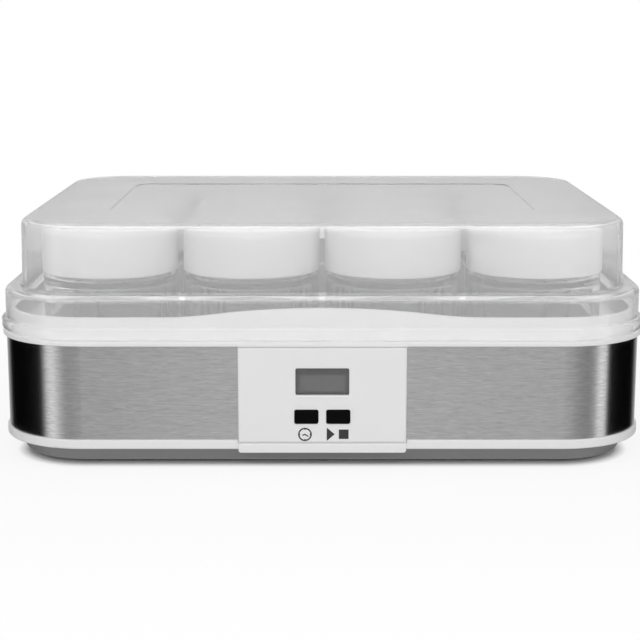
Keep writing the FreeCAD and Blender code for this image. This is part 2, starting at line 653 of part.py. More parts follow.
def cord_gland():
    """Flanged bush in the back wall, with a groove's width of body and an inner collar."""
    body = GLAND_BORE + GLAND_WALL
    flange = body + GLAND_FLANGE
    wall = BAND_OUT - PAN_IN
    length = CHIN_PROUD + wall + GLAND_INSIDE
    bush = turned_solid([
        (GLAND_BORE, 0), (flange, 0, CHIN_PROUD / 3), (flange, CHIN_PROUD),
        (body, CHIN_PROUD), (body, length), (GLAND_BORE, length)])
    return bush.rotated(ORIGIN, Vector(1, 0, 0), 90).translated(gland_place())


def panel_middle_z():
    return (PANEL_Z + PANEL_TOP_Z) / 2


def panel_frame_width():
    return PANEL_WIDTH - 2 * PANEL_FRAME_MARGIN


def panel_frame_height():
    return PANEL_TOP_Z - PANEL_Z - 2 * PANEL_FRAME_MARGIN


def control_board_size():
    shrink = 2 * (PANEL_FRAME_WALL + CONTROL_BOARD_MARGIN)
    return panel_frame_width() - shrink, panel_frame_height() - shrink


def control_screw_places():
    return [(u, panel_middle_z() + v) for u, v in board_screw_places(*control_board_size())]


def button_places():
    return (("timer", -BUTTON_PITCH / 2), ("start", BUTTON_PITCH / 2))


def control_panel():
    z, height = panel_middle_z(), PANEL_TOP_Z - PANEL_Z
    plate = panel_block(0, z, PANEL_WIDTH, height, -PANEL_THICKNESS, 0)
    frame_width, frame_height = panel_frame_width(), panel_frame_height()
    frame = panel_block(0, z, frame_width, frame_height, 0, PANEL_FRAME_DEPTH)
    room = panel_block(
        0, z, frame_width - 2 * PANEL_FRAME_WALL, frame_height - 2 * PANEL_FRAME_WALL, 0, PANEL_FRAME_DEPTH)
    pieces = [soften_front(plate, PANEL_EDGE_FILLET), frame.cut(room)]
    through = (-2 * PANEL_THICKNESS, PANEL_THICKNESS)
    cuts = [panel_block(0, DISPLAY_Z, DISPLAY_WIDTH, DISPLAY_HEIGHT, *through, DISPLAY_CORNER)]
    for _, x in button_places():
        cuts.append(panel_block(
            x, BUTTON_Z, BUTTON_WIDTH + 2 * BUTTON_FIT, BUTTON_HEIGHT + 2 * BUTTON_FIT,
            *through, BUTTON_CORNER + BUTTON_FIT))
    screw_end = CONTROL_BOARD_BACK - BOARD_SCREW_LENGTH
    for x, boss_z in control_screw_places():
        pieces.append(inward_pin(BOSS_RADIUS, 0, CONTROL_BOARD_DEPTH, x, boss_z))
        cuts.append(inward_pin(BOARD_HOLE_RADIUS, screw_end - SCREW_FIT, CONTROL_BOARD_DEPTH, x, boss_z))
    return joined(pieces).cut(cuts)


def display_window():
    width, height = DISPLAY_WIDTH + 2 * WINDOW_BORDER, DISPLAY_HEIGHT + 2 * WINDOW_BORDER
    return panel_block(0, DISPLAY_Z, width, height, 0, WINDOW_THICKNESS)


def lcd_module():
    width, height = DISPLAY_WIDTH + 2 * WINDOW_BORDER, DISPLAY_HEIGHT + 2 * WINDOW_BORDER
    return panel_block(0, DISPLAY_Z, width, height, WINDOW_THICKNESS + WINDOW_GAP, CONTROL_BOARD_DEPTH)


def control_board():
    width, height = control_board_size()
    board = panel_block(0, panel_middle_z(), width, height, CONTROL_BOARD_DEPTH, CONTROL_BOARD_BACK)
    holes = [
        inward_pin(BOARD_HOLE_RADIUS, CONTROL_BOARD_DEPTH, CONTROL_BOARD_BACK, x, z)
        for x, z in control_screw_places()
    ]
    return board.cut(holes)


def plunger_depths():
    """Front end, where it meets the button's flange, and rear end inside the switch."""
    return BUTTON_FLANGE_DEPTH, CONTROL_BOARD_DEPTH - SWITCH_HEIGHT + PLUNGER_ENGAGED


def switch(x):
    front = CONTROL_BOARD_DEPTH - SWITCH_HEIGHT
    body = panel_block(x, BUTTON_Z, SWITCH_SIZE, SWITCH_SIZE, front, CONTROL_BOARD_DEPTH)
    bore_end = plunger_depths()[1] + BUTTON_TRAVEL + PLUNGER_END_ROOM
    return body.cut(inward_pin(PLUNGER_RADIUS + PLUNGER_FIT, 0, bore_end, x, BUTTON_Z))


def plunger(x):
    return inward_pin(PLUNGER_RADIUS, *plunger_depths(), x, BUTTON_Z)


def button(x):
    front = -(PANEL_THICKNESS + BUTTON_PROUD)
    face = panel_block(x, BUTTON_Z, BUTTON_WIDTH, BUTTON_HEIGHT, front, BUTTON_FLANGE_DEPTH, BUTTON_CORNER)
    flange = panel_block(
        x, BUTTON_Z, BUTTON_WIDTH + 2 * BUTTON_FLANGE, BUTTON_HEIGHT + 2 * BUTTON_FLANGE,
        BUTTON_STOP_GAP, BUTTON_FLANGE_DEPTH)
    return joined([soften_front(face, BUTTON_PROUD / 2), flange])


def power_block(size, place):
    """Component on top of the power board, placed from the board's corner."""
    low = (POWER_BOARD_X + place[0], POWER_BOARD_Y + place[1], POWER_TOP_Z)
    return box_between(low, [a + b for a, b in zip(low, size)])


def power_board():
    low = (POWER_BOARD_X, POWER_BOARD_Y, POWER_BOARD_Z)
    high = (POWER_BOARD_X + POWER_BOARD_LENGTH, POWER_BOARD_Y + POWER_BOARD_WIDTH, POWER_TOP_Z)
    holes = [upright(BOARD_HOLE_RADIUS, POWER_BOARD_Z, POWER_TOP_Z, x, y) for x, y in power_screw_places()]
    return box_between(low, high).cut(holes)


def capacitor():
    x, y = POWER_BOARD_X + CAPACITOR_PLACE[0], POWER_BOARD_Y + CAPACITOR_PLACE[1]
    return upright(CAPACITOR_RADIUS, POWER_TOP_Z, POWER_TOP_Z + CAPACITOR_HEIGHT, x, y)


def panel_connector_foot():
    """Underside of the connector on the control board's back, where the display lead comes in."""
    z = panel_middle_z() - control_board_size()[1] / 2 + PANEL_CONNECTOR_UP
    return Vector(PANEL_CONNECTOR_X, FRONT_Y + CONTROL_BOARD_BACK + 2 * DISPLAY_LEAD_RADIUS, z)


def power_connector_face():
    """Front face of the connector on the power board, where the display lead comes in."""
    x = POWER_BOARD_X + CONNECTOR_PLACE[0] + CONNECTOR_SIZE[0] / 2
    return Vector(x, POWER_BOARD_Y + CONNECTOR_PLACE[1], POWER_TOP_Z + CONNECTOR_SIZE[2] / 2)


def lead_connectors():
    foot = panel_connector_foot()
    width, height, _ = CONNECTOR_SIZE
    back = CONTROL_BOARD_BACK + 4 * DISPLAY_LEAD_RADIUS
    on_panel = panel_block(foot.x, foot.z + height / 2, width, height, CONTROL_BOARD_BACK, back)
    return Part.Compound([power_block(CONNECTOR_SIZE, CONNECTOR_PLACE), on_panel])


def display_lead():
    start, end = power_connector_face(), panel_connector_foot()
    turn = Vector(end.x, end.y, start.z)
    before_turn = turn + Vector(0, DISPLAY_LEAD_LAST_RUN, 0)
    middle = [Vector(x, y, start.z) for x, y in DISPLAY_LEAD_ROUTE]
    first = start - Vector(0, DISPLAY_LEAD_LAST_RUN, 0)
    return tube_along([start, first] + middle + [before_turn, turn, end], DISPLAY_LEAD_RADIUS)


def screw(radius, length, head_radius, head):
    """Pan-head screw along +Z, with the underside of its head at the origin."""
    return turned_solid([
        (0, -head), (head_radius, -head, head / 2), (head_radius, 0),
        (radius, 0), (radius, length), (0, length)])


def board_screws():
    blank = screw(BOARD_SCREW_RADIUS, BOARD_SCREW_LENGTH, BOARD_SCREW_HEAD_RADIUS, BOARD_SCREW_HEAD)
    down = blank.rotated(ORIGIN, Vector(1, 0, 0), 180)
    forward = blank.rotated(ORIGIN, Vector(1, 0, 0), 90)
    depth = FRONT_Y + CONTROL_BOARD_BACK
    screws = [down.translated(Vector(x, y, POWER_TOP_Z)) for x, y in power_screw_places()]
    screws += [forward.translated(Vector(x, depth, z)) for x, z in control_screw_places()]
    return Part.Compound(screws)


def housing_screws():
    blank = screw(HOUSING_SCREW_RADIUS, HOUSING_SCREW_LENGTH, HOUSING_SCREW_HEAD_RADIUS, HOUSING_SCREW_HEAD)
    return Part.Compound([blank.translated(Vector(x, y, SCREW_SHELF_Z)) for x, y in housing_screw_places()])


def all_parts():
    parts = {
        "base_pan": base_pan(),
        "trim_ring": trim_ring(),
        "steel_band": steel_band(),
        "top_housing": top_housing(),
        "heating_plate": heating_plate(),
        "heater_foil": heater_foil(),
        "thermal_fuse": thermal_fuse(),
        "temperature_sensor": temperature_sensor(),
        "sensor_lead": sensor_lead(),
        "heater_leads": heater_leads(),
        "power_board": power_board(),
        "transformer": power_block(TRANSFORMER_SIZE, TRANSFORMER_PLACE),
        "relay": power_block(RELAY_SIZE, RELAY_PLACE),
        "capacitor": capacitor(),
        "terminal_block": power_block(TERMINAL_SIZE, TERMINAL_PLACE),
        "lead_connectors": lead_connectors(),
        "display_lead": display_lead(),
        "control_panel": control_panel(),
        "display_window": display_window(),
        "lcd_module": lcd_module(),
        "control_board": control_board(),
        "board_screws": board_screws(),
        "housing_screws": housing_screws(),
        "cord_gland": cord_gland(),
        "cover": cover(),
    }
    for name, x in button_places():
        parts[f"{name}_switch"] = switch(x)
        parts[f"{name}_plunger"] = plunger(x)
        parts[f"{name}_button"] = button(x)
    for name, x, y in foot_places():
        parts[name] = foot().translated(Vector(x, y, 0))
    glass, lid = jar(), cap()
    for ending, place in jar_places():
        parts[f"jar_{ending}"] = glass.translated(place)
        parts[f"cap_{ending}"] = lid.translated(place)
    return parts


def main():
    os.makedirs("parts", exist_ok=True)
    for name, shape in all_parts().items():
        shape.exportStep(f"parts/{name}.step")


main()
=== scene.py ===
"""Finishes, printed marks and studio for a twelve-jar yogurt maker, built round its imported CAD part."""

import math

import bmesh
import bpy
from mathutils import Matrix, Vector


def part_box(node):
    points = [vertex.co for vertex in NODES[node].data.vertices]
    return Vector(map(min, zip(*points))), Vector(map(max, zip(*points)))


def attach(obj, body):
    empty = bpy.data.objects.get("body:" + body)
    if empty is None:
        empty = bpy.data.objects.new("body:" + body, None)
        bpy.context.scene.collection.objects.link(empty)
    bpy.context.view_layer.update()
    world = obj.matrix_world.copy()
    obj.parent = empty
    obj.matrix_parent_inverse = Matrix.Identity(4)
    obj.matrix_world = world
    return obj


bl_info = {
    "name": "Yogurt maker finishes",
    "version": (1, 0, 0),
    "blender": (4, 5, 0),
    "location": "3D View > Sidebar > Yogurt maker",
    "description": "Finishes, printed marks and studio for a twelve-jar yogurt maker",
    "category": "Object",
}

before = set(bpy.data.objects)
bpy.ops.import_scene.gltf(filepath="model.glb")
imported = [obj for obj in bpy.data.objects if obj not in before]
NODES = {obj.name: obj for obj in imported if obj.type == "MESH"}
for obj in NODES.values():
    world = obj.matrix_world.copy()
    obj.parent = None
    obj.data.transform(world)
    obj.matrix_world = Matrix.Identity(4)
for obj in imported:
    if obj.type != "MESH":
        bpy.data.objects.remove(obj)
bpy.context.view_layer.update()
MM = 0.001

JAR_PLACES = [f"{row}_{column}" for row in ("front", "middle", "rear") for column in (1, 2, 3, 4)]
FEET = [f"foot_{end}_{side}" for end in ("front", "rear") for side in ("left", "right")]
SWITCHES = [f"{button}_{part}" for button in ("timer", "start") for part in ("switch", "plunger")]

PANEL_LOW, PANEL_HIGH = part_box("control_panel")
PANEL_FACE = PANEL_LOW.y
PANEL_SEAM = 0.4 * MM
TONGUE_END_GAP = 0.2 * MM
TONGUE_FIT = 0.02 * MM
TONGUE_THICKNESS = 0.7 * MM
TONGUE_BACK = 1.6 * MM

DISPLAY_MIDDLE = 47.0 * MM
DISPLAY_HALF = (13.9 * MM, 7.2 * MM)
SILL_END_GAP = 0.3 * MM
SILL_HEIGHT = 0.6 * MM
SILL_PROUD = 0.45 * MM


def grey(level):
    """A linear grey as a colour default."""
    return (level, level, level)


def rgba(colour):
    return (colour[0], colour[1], colour[2], 1.0)


WHITE = rgba(grey(1.0))


def colour_prop(name, description, default):
    return bpy.props.FloatVectorProperty(
        name=name, description=description, default=default, size=3, subtype="COLOR", min=0.0, max=1.0
    )


def length_prop(name, description, default):
    return bpy.props.FloatProperty(
        name=name, description=description, default=default, unit="LENGTH", min=0.0, precision=5
    )


def power_prop(name, description, default):
    return bpy.props.FloatProperty(name=name, description=description, default=default, unit="POWER")


class FinishSettings(bpy.types.PropertyGroup):
    """Colours of the visible finishes, linear."""

    housing: colour_prop("Housing", "White of the rim, collar, well, panel and trim", grey(0.825))
    pan: colour_prop("Base pan", "Grey of the floor pan", grey(0.235))
    # The caps' white is darker than the housing's: painted shade for the caps standing under the cover.
    cap: colour_prop("Caps", "White of the jar caps", grey(0.73))
    steel: colour_prop("Steel", "Reflectance of the brushed band", (0.60, 0.60, 0.603))
    cover: colour_prop("Cover", "Tint of the clear cover", grey(0.885))
    glass: colour_prop("Glass", "Tint of the jar glass", (0.945, 0.956, 0.951))
    display: colour_prop("Display", "Grey of the resting display", grey(0.105))
    button: colour_prop("Buttons", "Black of the two buttons", grey(0.003))
    mark: colour_prop("Printed marks", "Grey ink of the marks under the buttons", grey(0.03))
    rubber: colour_prop("Rubber", "Black of the feet and the cord gland", grey(0.018))


class MarkSettings(bpy.types.PropertyGroup):
    """Sizes and places of the marks printed under the buttons."""

    ink: length_prop("Ink thickness", "How far the ink stands off the panel", 0.05 * MM)
    stroke: length_prop("Stroke", "Width of the clock's ring and hands", 0.74 * MM)
    clock_width: length_prop("Clock width", "Outside diameter of the clock", 7.1 * MM)
    clock_x: bpy.props.FloatProperty(
        name="Clock X", description="Clock's centre across the panel", default=-9.0 * MM, unit="LENGTH"
    )
    clock_z: length_prop("Clock height", "Clock's centre above the table", 19.1 * MM)
    play_x: length_prop("Play X", "Left edge of the play mark", 2.3 * MM)
    play_width: length_prop("Play width", "Width of the play mark", 4.1 * MM)
    play_height: length_prop("Play height", "Height of the play mark", 7.1 * MM)
    stop_x: length_prop("Stop X", "Left edge of the stop mark", 8.55 * MM)
    stop_width: length_prop("Stop width", "Side of the square stop mark", 5.05 * MM)
    pair_z: length_prop("Pair height", "Middle of the play and stop marks above the table", 19.2 * MM)


class StageSettings(bpy.types.PropertyGroup):
    """Camera, lamps and floor of the studio."""

    eye: bpy.props.FloatVectorProperty(
        name="Eye", description="Camera's place", default=(-0.0012, -0.926, 0.2337), subtype="TRANSLATION"
    )
    pitch: bpy.props.FloatProperty(
        name="Pitch", description="How far the camera looks down", default=math.radians(11.03), subtype="ANGLE"
    )
    lens: bpy.props.FloatProperty(name="Lens", description="Focal length in millimetres", default=88.77)
    ambient: bpy.props.FloatProperty(name="Ambient", description="Light of the white room", default=0.37)
    overhead: power_prop("Overhead", "Overhead lamp", 5.0)
    front: power_prop("Front", "Front lamp", 13.6)
    rear: power_prop("Rear", "Rear lamp", 8.0)
    side: power_prop("Side", "Each side lamp", 2.8)
    floor: colour_prop("Floor", "Pale floor", grey(0.86))


def add_node(tree, kind, inputs=None, **settings):
    """Adds a node, sets its properties, then sets or links its inputs."""
    node = tree.nodes.new(kind)
    for name, value in settings.items():
        setattr(node, name, value)
    for key, value in (inputs or {}).items():
        socket = node.inputs[key]
        if isinstance(value, bpy.types.NodeSocket):
            tree.links.new(value, socket)
        else:
            socket.default_value = value
    return node


def math_node(tree, operation, a, b, clamp=False):
    return add_node(tree, "ShaderNodeMath", {0: a, 1: b}, operation=operation, use_clamp=clamp).outputs[0]


def vector_node(tree, operation, *values):
    inputs = dict(enumerate(values))
    return add_node(tree, "ShaderNodeVectorMath", inputs, operation=operation).outputs[0]


def object_place(tree):
    return add_node(tree, "ShaderNodeTexCoord").outputs["Object"]


def ramp(tree, factor, stops):
    """A colour ramp through (place, grey level) stops."""
    node = add_node(tree, "ShaderNodeValToRGB", {"Fac": factor})
    elements = node.color_ramp.elements
    made = [elements[0], *[elements.new(place) for place, _ in stops[1:-1]], elements[-1]]
    for element, (place, level) in zip(made, stops):
        element.position = place
        element.color = rgba(grey(level))
    return node.outputs["Color"]


def remap(tree, value, low, high, to_low, to_high):
    inputs = {0: value, 1: low, 2: high, 3: to_low, 4: to_high}
    return add_node(tree, "ShaderNodeMapRange", inputs, clamp=True).outputs[0]


def noise(tree, scale, detail=2.0, rough=0.5):
    """A grey noise on object coordinates; scale is features per metre along each axis."""
    node = add_node(
        tree, "ShaderNodeTexNoise",
        {
            "Vector": vector_node(tree, "MULTIPLY", object_place(tree), scale),
            "Scale": 1.0, "Detail": detail, "Roughness": rough,
        },
    )
    return node.outputs["Fac"]


def swing_of(tree, level, amount):
    """How far a noise is from its middle, times an amount."""
    return math_node(tree, "MULTIPLY", math_node(tree, "SUBTRACT", level, 0.5), amount)


FLOAT, COLOUR = "NodeSocketFloat", "NodeSocketColor"


def new_group(name, inputs, outputs):
    """A shader node group with float or colour sockets; returns it with its ends."""
    group = bpy.data.node_groups.new(name, "ShaderNodeTree")
    for direction, sockets in (("INPUT", inputs), ("OUTPUT", outputs)):
        for socket, kind, default in sockets:
            made = group.interface.new_socket(socket, in_out=direction, socket_type=kind)
            if default is not None:
                made.default_value = default
    return group, add_node(group, "NodeGroupInput"), add_node(group, "NodeGroupOutput")


FINISH_OUTPUTS = [("Colour", COLOUR, None), ("Roughness", FLOAT, None), ("Height", FLOAT, None)]
SPARK_SCALE = (2600.0, 2600.0, 2600.0)
SPARK_GLOSS = 0.10
FLOW_SCALE = (22.0, 22.0, 22.0)
FLOW_GLOSS = 0.16


def moulded_grain_group():
    """Moulded plastic: fine spark grain, slow flow mottling and a little uneven gloss."""
    group, given, out = new_group(
        "moulded_grain",
        [("Colour", COLOUR, rgba(grey(0.8))), ("Mottle", FLOAT, 0.03), ("Roughness", FLOAT, 0.35)],
        FINISH_OUTPUTS,
    )
    fine = noise(group, SPARK_SCALE, detail=3.0)
    flow = noise(group, FLOW_SCALE, detail=4.0, rough=0.6)
    shade = math_node(group, "ADD", 1.0, swing_of(group, flow, given.outputs["Mottle"]))
    tinted = vector_node(group, "MULTIPLY", given.outputs["Colour"], shade)
    gloss, speck = swing_of(group, flow, FLOW_GLOSS), swing_of(group, fine, SPARK_GLOSS)
    uneven = math_node(group, "ADD", gloss, speck)
    rough = math_node(group, "ADD", given.outputs["Roughness"], uneven, clamp=True)
    group.links.new(tinted, out.inputs["Colour"])
    group.links.new(rough, out.inputs["Roughness"])
    group.links.new(fine, out.inputs["Height"])
    return group


SMEAR_SCALE = (38.0, 38.0, 55.0)
SMEAR_EDGES = (0.48, 0.72)
DUST_SCALE = (1900.0, 1900.0, 1900.0)
DUST_EDGES = (0.70, 0.78)
DUST_SHARE = 0.6


def handling_group():
    """Faint smears and dust that handling leaves on a glossy face, added to its roughness."""
    group, given, out = new_group(
        "handling", [("Amount", FLOAT, 0.1), ("Base", FLOAT, 0.05)], [("Roughness", FLOAT, None)]
    )
    smear = remap(group, noise(group, SMEAR_SCALE, detail=5.0, rough=0.65), *SMEAR_EDGES, 0.0, 1.0)
    dust = remap(group, noise(group, DUST_SCALE, detail=1.0), *DUST_EDGES, 0.0, DUST_SHARE)
    marks = math_node(group, "MAXIMUM", smear, dust)
    added = math_node(group, "MULTIPLY", marks, given.outputs["Amount"])
    rough = math_node(group, "ADD", given.outputs["Base"], added, clamp=True)
    group.links.new(rough, out.inputs["Roughness"])
    return group


FINE_STROKES, FINE_SHARE = (260.0, 260.0, 2600.0), 0.55
BROAD_STROKES, BROAD_SHARE = (100.0, 100.0, 1000.0), 0.45
STROKE_TINT = 3.3
STROKE_GLOSS = 0.3


def brushing_group():
    """Brushed metal: level scratches of two widths, with brighter and duller strokes."""
    group, given, out = new_group(
        "brushing",
        [("Colour", COLOUR, rgba(grey(0.6))), ("Depth", FLOAT, 0.2), ("Roughness", FLOAT, 0.3)],
        FINISH_OUTPUTS,
    )
    fine = noise(group, FINE_STROKES, detail=2.0, rough=0.6)
    broad = noise(group, BROAD_STROKES, detail=3.0, rough=0.7)
    both = math_node(
        group, "ADD",
        math_node(group, "MULTIPLY", fine, FINE_SHARE), math_node(group, "MULTIPLY", broad, BROAD_SHARE),
    )
    swing = swing_of(group, both, given.outputs["Depth"])
    shade = math_node(group, "ADD", 1.0, math_node(group, "MULTIPLY", swing, STROKE_TINT))
    tinted = vector_node(group, "MULTIPLY", given.outputs["Colour"], shade)
    gloss = math_node(group, "MULTIPLY", swing, STROKE_GLOSS)
    rough = math_node(group, "SUBTRACT", given.outputs["Roughness"], gloss, clamp=True)
    group.links.new(tinted, out.inputs["Colour"])
    group.links.new(rough, out.inputs["Roughness"])
    group.links.new(both, out.inputs["Height"])
    return group


def shared(name):
    """The named effect, built the first time it is asked for."""
    makers = {"moulded_grain": moulded_grain_group, "handling": handling_group, "brushing": brushing_group}
    return bpy.data.node_groups.get(name) or makers[name]()


def place_group(tree, name, **inputs):
    node = add_node(tree, "ShaderNodeGroup", node_tree=shared(name))
    for key, value in inputs.items():
        node.inputs[key].default_value = value
    return node


def new_material(name):
    """An empty node material; returns it with its tree and its output."""
    material = bpy.data.materials.new(name)
    material.use_nodes = True
    tree = material.node_tree
    tree.nodes.clear()
    return material, tree, add_node(tree, "ShaderNodeOutputMaterial")


PLASTIC_IOR = 1.5


def plastic(name, colour, roughness=0.35, mottle=0.03, grain=0.05, coat=0.0, shine=0.5):
    """Moulded plastic or rubber with its own gloss and grain depth."""
    material, tree, out = new_material(name)
    effect = place_group(tree, "moulded_grain", Colour=rgba(colour), Mottle=mottle, Roughness=roughness)
    bump = add_node(
        tree, "ShaderNodeBump", {"Height": effect.outputs["Height"], "Strength": grain, "Distance": 0.0002}
    )
    surface = add_node(
        tree, "ShaderNodeBsdfPrincipled",
        {
            "Base Color": effect.outputs["Colour"], "Roughness": effect.outputs["Roughness"],
            "Normal": bump.outputs["Normal"], "IOR": PLASTIC_IOR, "Coat Weight": coat, "Coat Roughness": 0.12,
            "Specular IOR Level": shine,
        },
    )
    tree.links.new(surface.outputs[0], out.inputs["Surface"])
    return material


def brushed_metal(name, colour, roughness=0.3, depth=0.25, anisotropy=0.7):
    """Brushed sheet with its scratches level, so highlights spread up and down."""
    material, tree, out = new_material(name)
    effect = place_group(tree, "brushing", Colour=rgba(colour), Depth=depth, Roughness=roughness)
    bump = add_node(
        tree, "ShaderNodeBump", {"Height": effect.outputs["Height"], "Strength": 0.02, "Distance": 0.0001}
    )
    around = add_node(tree, "ShaderNodeTangent", direction_type="RADIAL", axis="Z")
    surface = add_node(
        tree, "ShaderNodeBsdfPrincipled",
        {
            "Base Color": effect.outputs["Colour"], "Roughness": effect.outputs["Roughness"], "Metallic": 1.0,
            "Normal": bump.outputs["Normal"], "Anisotropic": anisotropy, "Anisotropic Rotation": 0.25,
            "Tangent": around.outputs["Tangent"],
        },
    )
    tree.links.new(surface.outputs[0], out.inputs["Surface"])
    return material


def clear(name, colour, ior, base, smears, haze=0.0, lamp_share=0.9, coat=0.0):
    """Clear plastic or glass that lets lamp light through; haze is the share that scatters."""
    material, tree, out = new_material(name)
    effect = place_group(tree, "handling", Amount=smears, Base=base)
    surface = add_node(
        tree, "ShaderNodeBsdfPrincipled",
        {
            "Base Color": rgba(colour), "Roughness": effect.outputs["Roughness"], "IOR": ior,
            "Transmission Weight": 1.0 - haze, "Coat Weight": coat, "Coat Roughness": 0.04,
        },
    )
    passing = add_node(tree, "ShaderNodeBsdfTransparent", {"Color": rgba(grey(lamp_share))})
    path = add_node(tree, "ShaderNodeLightPath")
    mixed = add_node(
        tree, "ShaderNodeMixShader",
        {0: path.outputs["Is Shadow Ray"], 1: surface.outputs[0], 2: passing.outputs[0]},
    )
    tree.links.new(mixed.outputs[0], out.inputs["Surface"])
    return material


BORDER_SIDE = (DISPLAY_HALF[0] - 2.6 * MM, DISPLAY_HALF[0] - 1.6 * MM)
# Where the painted shadow under the opening's upper edge begins and where it reaches full darkness.
PAINTED_SHADOW_ABOVE = (2.4 * MM, 3.4 * MM)
BORDER_BELOW = (-5.2 * MM, -6.2 * MM)
BORDER_EDGE = 0.8
# How dark the border and the painted shadow make the display at their fullest.
BORDER_AND_SHADOW_LEVEL = 0.5


def display_face(name, colour):
    """The resting display: an even grey with a darker border where the glass is sealed, and a painted shadow
    across its top, as if cast by the opening's upper edge.
    """
    material, tree, out = new_material(name)
    parts = add_node(tree, "ShaderNodeSeparateXYZ", {0: object_place(tree)})
    across = math_node(tree, "ABSOLUTE", parts.outputs["X"], 0.0)
    up = math_node(tree, "SUBTRACT", parts.outputs["Z"], DISPLAY_MIDDLE)
    side = remap(tree, across, *BORDER_SIDE, 0.0, BORDER_EDGE)
    # Painted shadow: the top of the display darkens as if shaded by the opening's upper edge.
    above = remap(tree, up, *PAINTED_SHADOW_ABOVE, 0.0, 1.0)
    below = remap(tree, up, *BORDER_BELOW, 0.0, BORDER_EDGE)
    border_and_painted_shadow = math_node(tree, "MAXIMUM", math_node(tree, "MAXIMUM", side, above), below)
    effect = place_group(tree, "moulded_grain", Colour=rgba(colour), Mottle=0.08, Roughness=0.24)
    shade = remap(tree, border_and_painted_shadow, 0.0, 1.0, 1.0, BORDER_AND_SHADOW_LEVEL)
    surface = add_node(
        tree, "ShaderNodeBsdfPrincipled",
        {
            "Base Color": vector_node(tree, "MULTIPLY", effect.outputs["Colour"], shade),
            "Roughness": effect.outputs["Roughness"], "IOR": PLASTIC_IOR,
            "Coat Weight": 0.3, "Coat Roughness": 0.08,
        },
    )
    tree.links.new(surface.outputs[0], out.inputs["Surface"])
    return material


def dress(material, *names):
    """Puts a material on every slot of the named CAD nodes."""
    for name in names:
        mesh = NODES[name].data
        if not mesh.materials:
            mesh.materials.append(material)
        for index in range(len(mesh.materials)):
            mesh.materials[index] = material


def link_piece(name, mesh):
    piece = bpy.data.objects.new(name, mesh)
    bpy.context.scene.collection.objects.link(piece)
    return piece


def solid_piece(name, shape, material):
    """Turns a closed shape's faces outwards and puts it in the scene."""
    bmesh.ops.recalc_face_normals(shape, faces=shape.faces)
    mesh = bpy.data.meshes.new(name)
    shape.to_mesh(mesh)
    shape.free()
    mesh.materials.append(material)
    return link_piece(name, mesh)


def flat_piece(name, outlines, thickness, back_y, material):
    """A thin solid along the panel: closed outlines in (x, z), made solid towards the viewer."""
    shape = bmesh.new()
    for outline in outlines:
        back = [shape.verts.new((x, back_y, z)) for x, z in outline]
        front = [shape.verts.new((x, back_y - thickness, z)) for x, z in outline]
        shape.faces.new(front)
        shape.faces.new(back[::-1])
        for i in range(len(outline)):
            j = (i + 1) % len(outline)
            shape.faces.new((front[j], front[i], back[i], back[j]))
    return solid_piece(name, shape, material)


def rectangle(left, right, low, high):
    """The outline of an upright rectangle in (x, z)."""
    return [(left, low), (right, low), (right, high), (left, high)]


def rounded_outline(corners, radius, steps=4):
    """The outline through the corners with each one rounded off."""
    points = []
    count = len(corners)
    for i, corner in enumerate(corners):
        here = Vector(corner)
        before = (Vector(corners[i - 1]) - here).normalized()
        after = (Vector(corners[(i + 1) % count]) - here).normalized()
        half = before.angle(after) / 2
        run = radius / math.tan(half)
        middle = here + (before + after).normalized() * radius / math.sin(half)
        start, end = here + before * run - middle, here + after * run - middle
        for k in range(steps + 1):
            point = middle + start.lerp(end, k / steps).normalized() * radius
            points.append((point.x, point.y))
    return points


def display_sill(name, half_length, top_z, face_y, material):
    """A low sill under the display's opening, its top sloping forward and down to catch the light."""
    shape = bmesh.new()
    profile = ((0.0, 0.0), (-SILL_PROUD, -SILL_HEIGHT), (0.0, -SILL_HEIGHT))
    left, right = (
        [shape.verts.new((x, face_y + back, top_z + up)) for back, up in profile]
        for x in (-half_length, half_length)
    )
    shape.faces.new(left)
    shape.faces.new(right)
    for i in range(len(profile)):
        j = (i + 1) % len(profile)
        shape.faces.new((left[i], left[j], right[j], right[i]))
    return solid_piece(name, shape, material)


CLOCK_INPUTS = ("Radius", "Stroke", "Ink", "Tick Length", "Tick Radius")
RING_STEPS = 72


